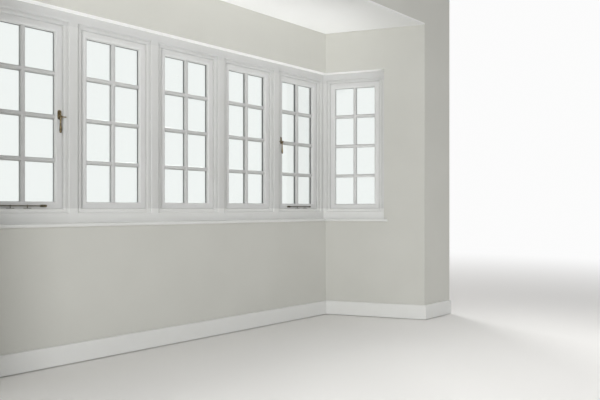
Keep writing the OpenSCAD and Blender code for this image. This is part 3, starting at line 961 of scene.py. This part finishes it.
def hip_tiles():
    """Third-round tiles over each hip, on a bed of mortar, with their ends butted."""
    rng = random.Random(19)
    for side, word in HANDS:
        cuts = [
            plane(0, FRONT_Y + ROOF_EDGE - CUT_IN, 0, 1),
            plane(*SIDES[side].plan(0, ROOF_EDGE - CUT_IN), side * sin(TURN), cos(TURN)),
            HOUSE_PLANE,
        ]
        tiles = Solid()
        place = HIP_FOOT
        while place < HIP_LENGTH + HIP_PAST:
            tone = rng.random()
            tip = rng.uniform(-HIP_PLAY, HIP_PLAY)
            rings = []
            for k in range(HIP_STEPS + 1):
                d = place + HIP_TILE_L * k / HIP_STEPS
                flare = HIP_FLARE * (1 - 2 * k / HIP_STEPS) + tip
                outer = hip_arc(side, d, HIP_RADIUS, HIP_ANGLE, flare)
                inner = hip_arc(side, d, HIP_RADIUS - HIP_TILE_T, HIP_ANGLE, flare)
                rings.append(outer + inner[::-1])
            tiles.loft(rings, tone)
            place += HIP_TILE_L + HIP_GAP
        tiles.piece("hip_tiles_" + word, "tile", cuts, 35)

        bed = Solid()
        rings = []
        foot, radius = HIP_FOOT + HIP_GAP, HIP_RADIUS - HIP_TILE_T - BED_SINK
        for k in range(BED_STEPS + 1):
            d = foot + (HIP_LENGTH + HIP_PAST - foot) * k / BED_STEPS
            waves = [
                BED_WAVE * noise.noise(Vector((d * 0.05, a * 1.7, side * 9.0)))
                for a in range(ARC_STEPS + 1)
            ]
            ring = hip_arc(side, d, radius, HIP_ANGLE + BED_SPREAD, 0, waves)
            rings.append(ring + [hip_point(side, d, u, h) for u, h in BED_UNDERSIDE])
        bed.loft(rings)
        bed.piece("hip_bedding_" + word, "bedding", cuts, 40)


def wall_sheet(shape, back, face):
    """Two rings of a flat sheet on the house wall, back and face in front of the bricks."""
    return [[HOUSE.point(x, WALL_OUT + PROUD + n, z) for x, z in shape] for n in (back, face)]


def hip_saddles():
    """Lead dressed over the head of each hip, its wings on the slopes and its back on the wall."""
    for side, word in HANDS:
        solid = Solid()
        rings = []
        for k in range(SADDLE_STEPS + 1):
            d = HIP_LENGTH - SADDLE_REACH + (SADDLE_REACH + HIP_PAST) * k / SADDLE_STEPS
            layers = []
            for t in (SADDLE_T, 0):
                arc = hip_arc(side, d, HIP_RADIUS + SADDLE_LIFT, SADDLE_ANGLE, t)
                far = [hip_point(side, d, -u, h + t) for u, h in SADDLE_WING]
                near = [hip_point(side, d, u, h + t) for u, h in SADDLE_WING]
                layers.append(far + arc + near[::-1])
            rings.append(layers[0] + layers[1][::-1])
        solid.loft(rings)
        ends = [side * (HIP_X + end) for end in UPSTAND_ENDS]
        shape = [(x, roof_line(x) - LEAD_TUCK) for x in ends]
        shape += [(x, UPSTAND_TOP) for x in ends[::-1]]
        solid.loft(wall_sheet(shape, 1, 3.5))
        solid.piece("lead_saddle_" + word, "lead", [HOUSE_PLANE], 50)


APRON_CUT = 104  # from each hip, under its saddle
APRON_HALF = 375  # the middle one of three sheets
APRON_LAP = 30
LAP_LIFT = 3.2
APRON_CELL = 40
APRON_SLOPE = [(150, 19), (112, 21), (75, 20), (38, 21), (6, 22)]  # from the wall and height
APRON_RISES = (14, 34, 56)
APRON_BACK = 2
LEAD_T = 2.5
SLOPE_WAVE = 1.8
UPSTAND_WAVE = 0.8


def lead_apron():
    """Three sheets of lead dressed over the top course and turned up the house wall."""
    solid = Solid()
    inner = APRON_HALF - APRON_LAP
    sheets = [(-HIP_X, -inner, LAP_LIFT), (-APRON_HALF, APRON_HALF, 0), (inner, HIP_X, LAP_LIFT)]
    for left, right, lap in sheets:
        columns = round((right - left) / APRON_CELL)
        top, bottom = [], []
        for i in range(columns + 1):
            x = left + (right - left) * i / columns
            upper, lower = [], []
            for s, h in APRON_SLOPE:
                wave = SLOPE_WAVE * noise.noise(Vector((x * 0.02, s * 0.05, 3)))
                upper.append(on_slope(FRONT, x, SLOPE_LENGTH - s, h + lap + wave + LEAD_T))
                lower.append(on_slope(FRONT, x, SLOPE_LENGTH - s, h + lap + wave))
            z_foot = upper[-1][2]
            for rise in APRON_RISES:
                wave = UPSTAND_WAVE * noise.noise(Vector((x * 0.02, rise * 0.05, 7)))
                back = WALL_OUT + PROUD + APRON_BACK + lap + wave
                upper.append(HOUSE.point(x, back + LEAD_T, z_foot + rise))
                lower.append(HOUSE.point(x, back, z_foot + rise))
            top.append(upper)
            bottom.append(lower)
        solid.shell(top, bottom)
    cuts = [hip_plane(side, True, APRON_CUT) for side in (-1, 1)]
    solid.piece("lead_apron", "lead", cuts, 50)


STEPS_START = HIP_X - 60
STEPS_END = STUB_X - 30
STEPS_TOP = HOUSE_TOP - 20


def stepped_flashing():
    """Stepped lead at the foot of the house wall beside each side slope."""
    fall = tan(ROOF_PITCH) * sin(TURN)
    head = roof_line(HIP_X)
    for side, word in HANDS:
        shape = []
        course = int((head + COURSE) // COURSE)
        x = STEPS_START
        while x < STEPS_END:
            reach = min(STEPS_END, HIP_X + (head + COURSE - (course - 1) * COURSE) / fall)
            z_top = min(course * COURSE, STEPS_TOP)
            shape += [(side * x, z_top), (side * reach, z_top)]
            x = reach
            course -= 1
        for x in (STEPS_END, HIP_X, STEPS_START):
            shape.append((side * x, roof_line(x) - LEAD_TUCK))
        solid = Solid()
        solid.loft(wall_sheet(shape, 1.5, 4))
        solid.piece("lead_steps_" + word, "lead", (), 40)


# Materials of the solids

LEVEL_PLAY = 5  # a solid's level face is found within this of its height


def dress(name, *materials):
    """Puts materials on a CAD node, and returns it."""
    node = frame["nodes"][name]
    node.data.materials.clear()
    for material in materials:
        node.data.materials.append(MATERIALS[material])
    return node


def street_face(node, wall):
    """Gives a wall's outer face, which the bricks cover, the second material."""
    px, py = wall.plan(0, WALL_OUT)
    ax, ay = wall.mirror * sin(wall.turn), cos(wall.turn)
    for polygon in node.data.polygons:
        x, y, _ = polygon.center / MM
        nx, ny, _ = polygon.normal
        on_plane = abs((x - px) * ax + (y - py) * ay) < 1
        polygon.material_index = 1 if on_plane and nx * ax + ny * ay > 0.9 else 0


def level_face(node, facing, height):
    """Gives the polygons that face up or down at a height the second material."""
    for polygon in node.data.polygons:
        level = abs(polygon.center.z / MM - height) < LEVEL_PLAY
        if level and polygon.normal.z * facing > 0.9:
            polygon.material_index = 1


def dress_solids():
    """Puts its material on every solid."""
    for word in ("front", "left", "right"):
        dress("inner_wall_" + word, "plaster")
        level_face(dress("upper_wall_" + word, "plaster", "soffit"), -1, SOFFIT_Z)
        dress("outer_wall_" + word, "mortar")
        dress("stone_sill_" + word, "stone")
        dress("window_board_" + word, "paint_" + word)
        dress("frame_sill_" + word, "paint_" + word)
        dress("frame_head_" + word, "head_" + word)
        dress("eaves_" + word, "stain_" + word)
        dress("roof_" + word, "tile")
    for side, word in HANDS:
        street_face(dress("pier_" + word, "plaster", "mortar"), SIDES[side])
        dress("side_sash_" + word, "sash_" + word)
    house = dress("house_wall", "plaster", "mortar")
    street_face(house, HOUSE)
    level_face(house, 1, HOUSE_TOP)
    sashes = ["casement_left", "fixed_sash_1", "fixed_sash_2", "fixed_sash_3", "casement_right"]
    for i, sash in enumerate(sashes):
        dress(sash, f"sash_front_{i + 1}")
    for post in ("corner_posts", "end_posts", "mullions"):
        dress(post, "paint_up")
    dress("ceiling", "ceiling")
    dress("skirting", "paint_front")
    dress("glass", "glass")
    dress("fasteners", "brass")
    dress("stays", "stay_brass")


# Studio, in metres

# Camera, fitted to the photo's edges
CAMERA_PLACE = (-2.0315, FRONT_Y * MM - 3.371, 0.919)
CAMERA_YAW = radians(-43.465)
CAMERA_LENS = 32.121
CAMERA_SHIFT = (-0.0054, 0.0141)
SENSOR_WIDTH = 36
FAR_CLIP = 200

WHITE = (0.97, 0.97, 0.97, 1)
WORLD_LIGHT = 0.38
FLOOR_TONE = (0.86, 0.85, 0.83, 1)
FLOOR_HALF = 60
FLOOR_Z = -0.0005  # just under the solids
FADE_START = 3.0  # the floor fades to white between these distances
FADE_END = 9.0
GLASS_BOUNCES = 24  # a ray passes four faces of glass in each light


def camera():
    data = bpy.data.cameras.new("camera")
    data.sensor_width = SENSOR_WIDTH
    data.lens = CAMERA_LENS
    data.shift_x, data.shift_y = CAMERA_SHIFT
    data.clip_end = FAR_CLIP
    obj = bpy.data.objects.new("camera", data)
    obj.location = CAMERA_PLACE
    obj.rotation_euler = Euler((pi / 2, 0, CAMERA_YAW))
    bpy.context.scene.collection.objects.link(obj)
    bpy.context.scene.camera = obj


def area_light(name, place, target, size, watts, spread=180, glossy=True):
    """A soft lamp that lights the object and is never seen itself."""
    data = bpy.data.lights.new(name, "AREA")
    data.shape = "RECTANGLE"
    data.size, data.size_y = size
    data.energy = watts
    data.spread = radians(spread)
    obj = bpy.data.objects.new(name, data)
    obj.location = place
    obj.rotation_euler = (Vector(target) - Vector(place)).to_track_quat("-Z", "Y").to_euler()
    obj.visible_camera = False
    obj.visible_glossy = glossy
    bpy.context.scene.collection.objects.link(obj)


def seen_white(tree):
    """1 for the rays that show the background, and 0 for those that light the object."""
    path = tree.nodes.new("ShaderNodeLightPath")
    total = path.outputs["Is Camera Ray"]
    for name in ("Is Glossy Ray", "Is Transmission Ray"):
        add = tree.nodes.new("ShaderNodeMath")
        add.operation = "MAXIMUM"
        tree.links.new(total, add.inputs[0])
        tree.links.new(path.outputs[name], add.inputs[1])
        total = add.outputs[0]
    return total


def world():
    """Even light from all round, behind a background that is seen white."""
    sky = bpy.data.worlds.new("studio")
    sky.use_nodes = True
    tree = sky.node_tree
    light = tree.nodes["Background"]
    light.inputs["Color"].default_value = (1, 1, 1, 1)
    light.inputs["Strength"].default_value = WORLD_LIGHT
    white = tree.nodes.new("ShaderNodeBackground")
    white.inputs["Color"].default_value = WHITE
    mix = tree.nodes.new("ShaderNodeMixShader")
    for i, output in enumerate((seen_white(tree), light.outputs[0], white.outputs[0])):
        tree.links.new(output, mix.inputs[i])
    tree.links.new(mix.outputs[0], tree.nodes["World Output"].inputs["Surface"])
    bpy.context.scene.world = sky


def floor():
    """Pale floor that fades into the white background away from the object."""
    mesh = bpy.data.meshes.new("floor")
    ring = [(x * FLOOR_HALF, y * FLOOR_HALF, FLOOR_Z) for x, y in SQUARE]
    mesh.from_pydata(ring, [], [(0, 1, 2, 3)])
    f = Finish("studio_floor", Base_Color=FLOOR_TONE, Roughness=0.9, Specular_IOR_Level=0.2)
    distance = f.node("VectorMath", {0: f.coords()}, operation="LENGTH").outputs["Value"]
    inputs = {"Value": distance, "From Min": FADE_START, "From Max": FADE_END}
    fade = f.node("MapRange", inputs, interpolation_type="SMOOTHSTEP").outputs[0]
    shown = f.math("MULTIPLY", fade, seen_white(f.tree))
    glow = f.node("Emission", {"Color": WHITE}).outputs[0]
    both = f.node("MixShader", {0: shown, 1: f.bsdf.outputs[0], 2: glow}).outputs[0]
    f.feed(f.tree.nodes["Material Output"], {"Surface": both})
    obj = add_object("studio_floor", mesh, [f.material])


def studio():
    camera()
    world()
    floor()
    area_light("room_light", (-6.5, -6.3, 1.8), (0.3, 0, 1.2), size=(2.6, 2.0), watts=315)
    area_light("floor_light", (-0.3, -2.7, 4.6), (-0.3, -2.7, 0), (6.0, 3.6), 32, spread=40)
    area_light(
        "ceiling_light", (0, -0.15, 0.95), (0, 0.02, 2.4), (3.4, 0.3), 3.1, spread=50, glossy=False
    )
    area_light("street_light", (6.0, 9.5, 8.0), (0, 0.2, 1.2), size=(5.0, 4.0), watts=760)
    scene = bpy.context.scene
    scene.view_settings.view_transform = "Standard"
    scene.cycles.transparent_max_bounces = GLASS_BOUNCES


studio()
dress_solids()
glazing()
brickwork()
slope_tiles()
hip_tiles()
hip_saddles()
lead_apron()
stepped_flashing()


def corners(box):
    return [[float(c) for c in corner] for corner in box]
